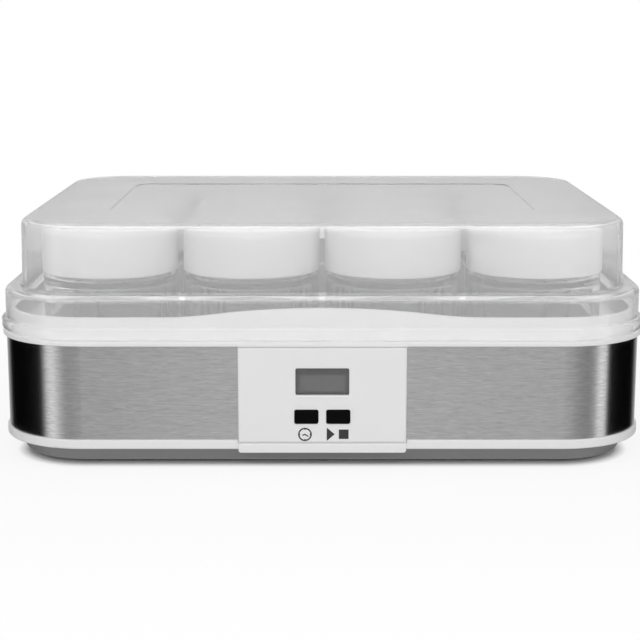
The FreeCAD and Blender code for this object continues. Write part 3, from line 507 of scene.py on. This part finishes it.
def clock_tree(material):
    """A geometry tree for a clock of ink: a ring that follows a circle, with hour ticks inside it."""
    tree = bpy.data.node_groups.new("ink_clock", "GeometryNodeTree")
    for name in CLOCK_INPUTS:
        tree.interface.new_socket(name, in_out="INPUT", socket_type=FLOAT)
    tree.interface.new_socket("Ticks", in_out="INPUT", socket_type="NodeSocketInt")
    tree.interface.new_socket("Geometry", in_out="OUTPUT", socket_type="NodeSocketGeometry")
    given, out = add_node(tree, "NodeGroupInput"), add_node(tree, "NodeGroupOutput")
    circle = add_node(
        tree, "GeometryNodeCurvePrimitiveCircle",
        {"Resolution": RING_STEPS, "Radius": given.outputs["Radius"]},
    )
    profile = add_node(
        tree, "GeometryNodeCurvePrimitiveQuadrilateral",
        {"Width": given.outputs["Stroke"], "Height": given.outputs["Ink"]},
    )
    ring = add_node(
        tree, "GeometryNodeCurveToMesh",
        {"Curve": circle.outputs["Curve"], "Profile Curve": profile.outputs["Curve"], "Fill Caps": False},
    )
    stations = add_node(
        tree, "GeometryNodeMeshCircle",
        {"Vertices": given.outputs["Ticks"], "Radius": given.outputs["Tick Radius"]},
    )
    size = add_node(
        tree, "ShaderNodeCombineXYZ",
        {"X": given.outputs["Tick Length"], "Y": given.outputs["Stroke"], "Z": given.outputs["Ink"]},
    )
    tick = add_node(tree, "GeometryNodeMeshCube", {"Size": size.outputs[0]})
    place = add_node(tree, "GeometryNodeInputPosition").outputs[0]
    outward = add_node(tree, "FunctionNodeAlignRotationToVector", {"Vector": place}, axis="X")
    ticks = add_node(
        tree, "GeometryNodeInstanceOnPoints",
        {
            "Points": stations.outputs["Mesh"], "Instance": tick.outputs["Mesh"],
            "Rotation": outward.outputs["Rotation"],
        },
    )
    joined = add_node(tree, "GeometryNodeJoinGeometry", {"Geometry": ring.outputs["Mesh"]})
    tree.links.new(ticks.outputs["Instances"], joined.inputs["Geometry"])
    real = add_node(tree, "GeometryNodeRealizeInstances", {"Geometry": joined.outputs["Geometry"]})
    inked = add_node(tree, "GeometryNodeSetMaterial", {"Geometry": real.outputs[0], "Material": material})
    tree.links.new(inked.outputs[0], out.inputs["Geometry"])
    return tree


def from_tree(name, tree, values, matrix):
    """Runs a geometry tree on an empty mesh and returns its result as a plain piece."""
    carrier = link_piece(name + "_carrier", bpy.data.meshes.new(name + "_carrier"))
    modifier = carrier.modifiers.new("Shape", "NODES")
    modifier.node_group = tree
    for item in tree.interface.items_tree:
        if item.in_out == "INPUT" and item.name in values:
            modifier[item.identifier] = values[item.name]
    depsgraph = bpy.context.evaluated_depsgraph_get()
    mesh = bpy.data.meshes.new_from_object(carrier.evaluated_get(depsgraph), depsgraph=depsgraph)
    carrier.modifiers.remove(modifier)
    bpy.data.objects.remove(carrier)
    if not mesh.polygons:
        raise RuntimeError(f"the tree for {name} made no faces")
    mesh.transform(matrix)
    mesh.name = name
    return link_piece(name, mesh)


class FinishHousing(bpy.types.Operator):
    """Dresses the white mouldings and adds the display's sill and the tongues in the panel's joint lines"""

    bl_idname = "yogurt.finish_housing"
    bl_label = "Housing"

    def execute(self, context):
        colour = context.scene.yogurt_finish.housing
        moulding = plastic("white_moulding", colour, roughness=0.36, mottle=0.02, grain=0.05)
        dress(moulding, "top_housing", "trim_ring")
        panel = plastic("panel_moulding", colour, roughness=0.30, mottle=0.015, grain=0.03, coat=0.15)
        dress(panel, "control_panel")
        # The sill's white is lighter than the housing's: a painted highlight along the display's lower edge.
        bright = plastic("sill_moulding", grey(0.93), roughness=0.25, mottle=0.01, grain=0.02, coat=0.2)
        half_length, top_z = DISPLAY_HALF[0] - SILL_END_GAP, DISPLAY_MIDDLE - DISPLAY_HALF[1]
        sill = display_sill("display_sill", half_length, top_z, PANEL_FACE, bright)
        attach(sill, "base")
        seams = {
            "lower_seam_tongue": PANEL_LOW.z - PANEL_SEAM / 2,
            "upper_seam_tongue": PANEL_HIGH.z + PANEL_SEAM / 2,
        }
        half_x, half_z = PANEL_HIGH.x - TONGUE_END_GAP, PANEL_SEAM / 2 - TONGUE_FIT
        for name, z in seams.items():
            outline = rectangle(-half_x, half_x, z - half_z, z + half_z)
            tongue = flat_piece(name, [outline], TONGUE_THICKNESS, PANEL_FACE + TONGUE_BACK, panel)
            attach(tongue, "base")
        return {"FINISHED"}


class FinishBase(bpy.types.Operator):
    """Dresses the grey floor pan, its rubber feet and the cord gland"""

    bl_idname = "yogurt.finish_base"
    bl_label = "Base"

    def execute(self, context):
        colours = context.scene.yogurt_finish
        dress(plastic("grey_pan_moulding", colours.pan, roughness=0.5, mottle=0.05, grain=0.25), "base_pan")
        rubber = plastic("black_rubber", colours.rubber, roughness=0.7, mottle=0.2, grain=0.4)
        dress(rubber, "cord_gland", *FEET)
        return {"FINISHED"}


class FinishBand(bpy.types.Operator):
    """Dresses the brushed steel band"""

    bl_idname = "yogurt.finish_band"
    bl_label = "Steel band"

    def execute(self, context):
        colour = context.scene.yogurt_finish.steel
        steel = brushed_metal("brushed_steel", colour, roughness=0.25, depth=0.26, anisotropy=0.9)
        dress(steel, "steel_band")
        return {"FINISHED"}


class FinishJars(bpy.types.Operator):
    """Dresses the twelve glass jars and their caps"""

    bl_idname = "yogurt.finish_jars"
    bl_label = "Jars and caps"

    def execute(self, context):
        colours = context.scene.yogurt_finish
        glass = clear("jar_glass", colours.glass, ior=1.45, base=0.01, smears=0.04, lamp_share=0.97)
        dress(glass, *[f"jar_{place}" for place in JAR_PLACES])
        # The caps' darker white is painted shade for their place under the cover.
        moulding = plastic("cap_moulding", colours.cap, roughness=0.38, mottle=0.025, grain=0.06)
        dress(moulding, *[f"cap_{place}" for place in JAR_PLACES])
        return {"FINISHED"}


class FinishCover(bpy.types.Operator):
    """Dresses the clear cover"""

    bl_idname = "yogurt.finish_cover"
    bl_label = "Cover"

    def execute(self, context):
        colour = context.scene.yogurt_finish.cover
        dress(clear("clear_cover", colour, ior=1.26, base=0.05, smears=0.10, haze=0.20, coat=0.7), "cover")
        return {"FINISHED"}


class FinishDisplay(bpy.types.Operator):
    """Dresses the display, its window and the two buttons"""

    bl_idname = "yogurt.finish_display"
    bl_label = "Display and buttons"

    def execute(self, context):
        colours = context.scene.yogurt_finish
        dress(display_face("display_grey", colours.display), "lcd_module")
        dress(clear("display_window", grey(0.92), ior=1.40, base=0.04, smears=0.06), "display_window")
        black = plastic("button_black", colours.button, roughness=0.42, mottle=0.1, grain=0.05, shine=0.04)
        dress(black, "timer_button", "start_button")
        return {"FINISHED"}


# Colour, roughness, depth of the brushing, anisotropy, then the nodes.
INNER_METALS = {
    "plate_aluminium": ((0.72, 0.72, 0.73), 0.36, 0.15, 0.3, ["heating_plate"]),
    "heater_foil": ((0.75, 0.74, 0.72), 0.42, 0.3, 0.0, ["heater_foil"]),
    "transformer_steel": ((0.38, 0.38, 0.40), 0.45, 0.4, 0.2, ["transformer"]),
    "screw_steel": ((0.62, 0.62, 0.60), 0.34, 0.2, 0.0, ["board_screws", "housing_screws"]),
}
# Colour, roughness, mottle, grain, coat, then the nodes.
INNER_PLASTICS = {
    "white_ceramic": (grey(0.72), 0.3, 0.05, 0.1, 0.0, ["thermal_fuse"]),
    "circuit_board": ((0.02, 0.12, 0.05), 0.32, 0.3, 0.1, 0.3, ["power_board", "control_board"]),
    "relay_blue": ((0.04, 0.10, 0.38), 0.35, 0.08, 0.05, 0.0, ["relay"]),
    "capacitor_sleeve": ((0.03, 0.03, 0.06), 0.28, 0.1, 0.05, 0.0, ["capacitor"]),
    "terminal_green": ((0.03, 0.28, 0.08), 0.38, 0.08, 0.05, 0.0, ["terminal_block"]),
    "connector_ivory": ((0.72, 0.68, 0.55), 0.4, 0.06, 0.05, 0.0, ["lead_connectors"]),
    "lead_insulation": (
        (0.55, 0.54, 0.50), 0.45, 0.1, 0.05, 0.0, ["sensor_lead", "heater_leads", "display_lead"]
    ),
    "switch_black": (grey(0.02), 0.4, 0.1, 0.05, 0.0, ["temperature_sensor", *SWITCHES]),
}


class FinishInside(bpy.types.Operator):
    """Dresses the heater, boards, leads and screws inside the housing"""

    bl_idname = "yogurt.finish_inside"
    bl_label = "Inside"

    def execute(self, context):
        for name, (colour, roughness, depth, anisotropy, nodes) in INNER_METALS.items():
            dress(brushed_metal(name, colour, roughness, depth, anisotropy), *nodes)
        for name, (colour, roughness, mottle, grain, coat, nodes) in INNER_PLASTICS.items():
            dress(plastic(name, colour, roughness, mottle, grain, coat), *nodes)
        return {"FINISHED"}


# Shares of the clock's stroke.
TICK_LENGTH, TICK_INSET, HAND_HALF = 0.5, 1.2, 0.42
CLOCK_TICKS = 4
# Each hand's angle in degrees and its reach as a share of the clock's width.
CLOCK_HANDS = ((200.0, 0.20), (330.0, 0.29))
PLAY_CORNER = 0.2 * MM
STOP_CORNER = 0.25 * MM


class PrintMarks(bpy.types.Operator):
    """Prints the clock, play and stop marks under the buttons"""

    bl_idname = "yogurt.print_marks"
    bl_label = "Printed marks"

    def execute(self, context):
        sizes = context.scene.yogurt_marks
        colour = context.scene.yogurt_finish.mark
        ink = plastic("printed_ink", colour, roughness=0.5, mottle=0.1, grain=0.02)
        ring = self.clock_ring(sizes, ink)
        hands = flat_piece("clock_hands", self.hand_outlines(sizes), sizes.ink, PANEL_FACE, ink)
        low, high = sizes.pair_z - sizes.play_height / 2, sizes.pair_z + sizes.play_height / 2
        x = sizes.play_x
        play_outline = rounded_outline([(x, low), (x + sizes.play_width, sizes.pair_z), (x, high)], PLAY_CORNER)
        play = flat_piece("play_mark", [play_outline], sizes.ink, PANEL_FACE, ink)
        half, x, z = sizes.stop_width / 2, sizes.stop_x, sizes.pair_z
        stop_outline = rounded_outline(rectangle(x, x + 2 * half, z - half, z + half), STOP_CORNER)
        stop = flat_piece("stop_mark", [stop_outline], sizes.ink, PANEL_FACE, ink)
        for piece in (ring, hands, play, stop):
            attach(piece, "base")
        return {"FINISHED"}

    @staticmethod
    def clock_ring(sizes, ink):
        """The clock's ring and ticks, stood upright on the panel."""
        stroke = sizes.stroke
        upright = Matrix.Translation((sizes.clock_x, PANEL_FACE - sizes.ink / 2, sizes.clock_z))
        return from_tree(
            "clock_ring", clock_tree(ink),
            {
                "Radius": (sizes.clock_width - stroke) / 2, "Stroke": stroke, "Ink": sizes.ink,
                "Tick Length": TICK_LENGTH * stroke, "Tick Radius": sizes.clock_width / 2 - TICK_INSET * stroke,
                "Ticks": CLOCK_TICKS,
            },
            upright @ Matrix.Rotation(math.pi / 2, 4, "X"),
        )

    @staticmethod
    def hand_outlines(sizes):
        """The two hands, meeting at the clock's centre."""
        half = sizes.stroke * HAND_HALF
        centre = Vector((sizes.clock_x, sizes.clock_z))
        outlines = []
        for degrees, share in CLOCK_HANDS:
            angle = math.radians(degrees)
            along = Vector((math.cos(angle), math.sin(angle)))
            across = Vector((-along.y, along.x)) * half
            tail, tip = centre - along * half, centre + along * sizes.clock_width * share
            outlines.append([tuple(p) for p in (tail - across, tip - across, tip + across, tail + across)])
        return outlines


LAMP_TARGET = (0.0, 0.0, 0.06)
# Which power of the stage's settings, then place and size.
LAMPS = {
    "overhead_lamp": ("overhead", (0.0, -0.15, 1.25), (1.5, 1.1)),
    "front_lamp": ("front", (0.0, -2.0, 1.0), (1.6, 0.9)),
    "rear_lamp": ("rear", (0.0, 2.0, 1.0), (1.6, 0.9)),
    "left_lamp": ("side", (-1.21, -1.02, 0.8), (0.6, 0.8)),
    "right_lamp": ("side", (1.395, -0.742, 0.8), (0.6, 0.8)),
}


def lamp(name, place, size, power):
    """A soft area lamp aimed at the part."""
    light = bpy.data.lights.new(name, "AREA")
    light.shape, light.energy = "RECTANGLE", power
    light.size, light.size_y = size
    lamp_object = link_piece(name, light)
    lamp_object.location = place
    lamp_object.rotation_euler = (Vector(LAMP_TARGET) - Vector(place)).to_track_quat("-Z", "Y").to_euler()


def seen_directly(tree):
    """One for camera, mirror and see-through rays, which show the white room."""
    path = add_node(tree, "ShaderNodeLightPath")
    first = math_node(tree, "MAXIMUM", path.outputs["Is Camera Ray"], path.outputs["Is Glossy Ray"])
    return math_node(tree, "MAXIMUM", first, path.outputs["Is Transmission Ray"])


WALL_RADIUS, WALL_FOOT, WALL_TOP = 1.5, -1.4, 1.6
WALL_SEGMENTS = 96
# Degrees round from straight ahead, positive to the right, and the wall's grey there.
WALL_LEVELS = (
    (-180, 0.52), (-152, 0.50), (-143, 0.44), (-135, 0.20), (-128, 0.002), (-65, 0.002), (-63, 0.04),
    (-58, 0.62), (-54, 0.96), (-47, 0.96), (-41, 0.60), (-33, 0.38), (-22, 0.36), (-12, 0.42), (-8, 0.50),
    (0, 0.52), (8, 0.50), (20, 0.45), (36, 0.34), (46, 0.28), (53, 0.40), (59, 1.0), (68, 1.0), (71, 0.05),
    (72, 0.002), (128, 0.002), (135, 0.20), (143, 0.44), (152, 0.50), (180, 0.52),
)


def studio_wall():
    """A round wall that only metal and gloss reflect: grey, with a bright strip and a dark flag each side."""
    mesh = bpy.data.meshes.new("studio_wall")
    points, faces = [], []
    for i in range(WALL_SEGMENTS):
        angle = 2 * math.pi * i / WALL_SEGMENTS
        x, y = WALL_RADIUS * math.sin(angle), -WALL_RADIUS * math.cos(angle)
        points += [(x, y, z) for z in (WALL_FOOT, WALL_TOP)]
        j = (i + 1) % WALL_SEGMENTS
        faces.append((2 * i, 2 * i + 1, 2 * j + 1, 2 * j))
    mesh.from_pydata(points, [], faces)
    wall = link_piece("studio_wall", mesh)
    material, tree, out = new_material("studio_wall")
    parts = add_node(tree, "ShaderNodeSeparateXYZ", {0: object_place(tree)})
    ahead = math_node(tree, "MULTIPLY", parts.outputs["Y"], -1.0)
    turn = math_node(tree, "ARCTAN2", parts.outputs["X"], ahead)
    place = math_node(tree, "ADD", math_node(tree, "DIVIDE", turn, 2 * math.pi), 0.5)
    level = ramp(tree, place, [(0.5 + degrees / 360, level) for degrees, level in WALL_LEVELS])
    glow = add_node(tree, "ShaderNodeEmission", {"Color": level, "Strength": 1.0})
    tree.links.new(glow.outputs[0], out.inputs["Surface"])
    mesh.materials.append(material)
    wall.visible_camera = wall.visible_diffuse = wall.visible_shadow = False
    wall.visible_transmission = wall.visible_volume_scatter = False
    return wall


FLOOR_HALF = 6.0
# Half sizes of the middle of the part's outline, inside its rounded corners.
OUTLINE_MIDDLE = (0.125, 0.0877, 0.0)
# How far from that middle the floor turns white to the eye, and by how much.
NEAR_FADE, NEAR_WHITE = (0.0345, 0.0415), 0.86
FAR_FADE, FAR_WHITE = (0.05, 0.30), 0.14
SENSOR_WIDTH = 36.0
LIGHT_BOUNCES = 24


class BuildStage(bpy.types.Operator):
    """Sets the floor, the white room, the lamps and the camera"""

    bl_idname = "yogurt.build_stage"
    bl_label = "Stage"

    def execute(self, context):
        scene = context.scene
        settings = scene.yogurt_stage
        scene.view_settings.view_transform = "Standard"
        self.white_room(scene, settings)
        floor = self.floor(settings)
        wall = studio_wall()
        for name, (power, place, size) in LAMPS.items():
            lamp(name, place, size, getattr(settings, power))
        self.camera(scene, settings)
        scene.cycles.max_bounces = scene.cycles.transmission_bounces = LIGHT_BOUNCES
        scene.cycles.transparent_max_bounces = LIGHT_BOUNCES
        return {"FINISHED"}

    @staticmethod
    def camera(scene, settings):
        camera_data = bpy.data.cameras.new("photo_camera")
        camera_data.sensor_width, camera_data.lens = SENSOR_WIDTH, settings.lens
        camera = link_piece("photo_camera", camera_data)
        camera.location = settings.eye
        camera.rotation_euler = (math.pi / 2 - settings.pitch, 0.0, 0.0)
        scene.camera = camera

    @staticmethod
    def white_room(scene, settings):
        world = bpy.data.worlds.new("white_room")
        world.use_nodes = True
        tree = world.node_tree
        tree.nodes.clear()
        strength = remap(tree, seen_directly(tree), 0.0, 1.0, settings.ambient, 1.0)
        glow = add_node(tree, "ShaderNodeBackground", {"Color": WHITE, "Strength": strength})
        out = add_node(tree, "ShaderNodeOutputWorld")
        tree.links.new(glow.outputs[0], out.inputs["Surface"])
        scene.world = world

    @staticmethod
    def floor(settings):
        """A pale floor that is white to the eye and still takes the shadow."""
        corners = rectangle(-FLOOR_HALF, FLOOR_HALF, -FLOOR_HALF, FLOOR_HALF)
        mesh = bpy.data.meshes.new("floor")
        mesh.from_pydata([(x, y, 0) for x, y in corners], [], [(0, 1, 2, 3)])
        floor = link_piece("floor", mesh)
        material, tree, out = new_material("pale_floor")
        lit = add_node(tree, "ShaderNodeBsdfDiffuse", {"Color": rgba(settings.floor)})
        white = add_node(tree, "ShaderNodeEmission", {"Color": WHITE, "Strength": 1.0})
        folded = vector_node(tree, "ABSOLUTE", object_place(tree))
        past = vector_node(tree, "SUBTRACT", folded, OUTLINE_MIDDLE)
        beyond = vector_node(tree, "MAXIMUM", past, grey(0.0))
        away = add_node(tree, "ShaderNodeVectorMath", {0: beyond}, operation="LENGTH").outputs["Value"]
        near = remap(tree, away, *NEAR_FADE, 0.0, NEAR_WHITE)
        share = math_node(tree, "ADD", near, remap(tree, away, *FAR_FADE, 0.0, FAR_WHITE))
        factor = math_node(tree, "MULTIPLY", share, seen_directly(tree))
        mixed = add_node(tree, "ShaderNodeMixShader", {0: factor, 1: lit.outputs[0], 2: white.outputs[0]})
        tree.links.new(mixed.outputs[0], out.inputs["Surface"])
        mesh.materials.append(material)
        floor.visible_glossy = False
        return floor


class YogurtMakerPanel(bpy.types.Panel):
    """Lists the finishes, the marks and the stage"""

    bl_idname = "VIEW3D_PT_yogurt_maker"
    bl_label = "Yogurt maker"
    bl_space_type = "VIEW_3D"
    bl_region_type = "UI"
    bl_category = "Yogurt maker"

    def draw(self, context):
        for operator in OPERATORS:
            self.layout.operator(operator.bl_idname)
        for name in GROUPS:
            group = getattr(context.scene, name)
            box = self.layout.box()
            for setting in group.__annotations__:
                box.prop(group, setting)


OPERATORS = (
    FinishHousing, FinishBase, FinishBand, FinishJars, FinishCover,
    FinishDisplay, FinishInside, PrintMarks, BuildStage,
)
GROUPS = {"yogurt_finish": FinishSettings, "yogurt_marks": MarkSettings, "yogurt_stage": StageSettings}
CLASSES = (*GROUPS.values(), *OPERATORS, YogurtMakerPanel)


def register():
    for cls in CLASSES:
        bpy.utils.register_class(cls)
    for name, group in GROUPS.items():
        setattr(bpy.types.Scene, name, bpy.props.PointerProperty(type=group))


def unregister():
    for name in GROUPS:
        delattr(bpy.types.Scene, name)
    for cls in reversed(CLASSES):
        bpy.utils.unregister_class(cls)


def main():
    register()
    for operator in OPERATORS:
        group, name = operator.bl_idname.split(".")
        getattr(getattr(bpy.ops, group), name)()


if __name__ == "__main__":
    main()
